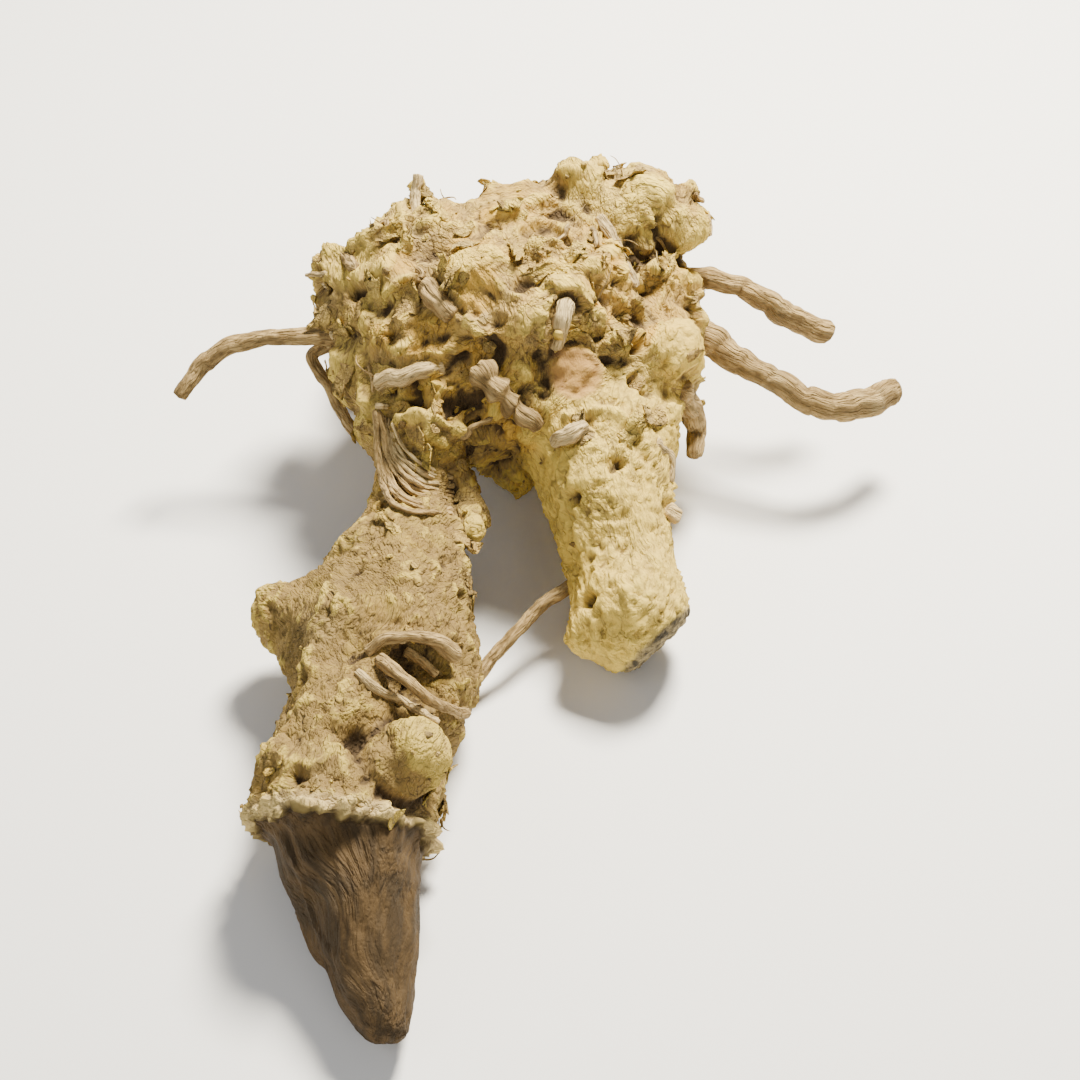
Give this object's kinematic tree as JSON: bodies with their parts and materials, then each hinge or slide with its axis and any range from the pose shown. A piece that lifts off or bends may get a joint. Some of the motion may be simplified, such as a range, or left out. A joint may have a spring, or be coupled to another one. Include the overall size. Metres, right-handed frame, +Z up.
{
  "type": "black turmeric root",
  "caption": "Dried black turmeric rhizome: knobbly crown, stout finger with a broken end, long branch ending in a bare stump, thin roots.",
  "frame": {"origin": "on the surface it lies on, in the middle of the flat spot under the crown", "axes": "+Z up; +Y away from the viewer, towards the crown's back; the long branch and the finger point along -Y"},
  "size_m": [0.0678, 0.0957, 0.0276],
  "materials": {
    "root_skin": "dry, matt, wrinkled root skin"
  },
  "bodies": {
    "root": {"rhizome": "root_skin"}
  },
  "joints": []
}
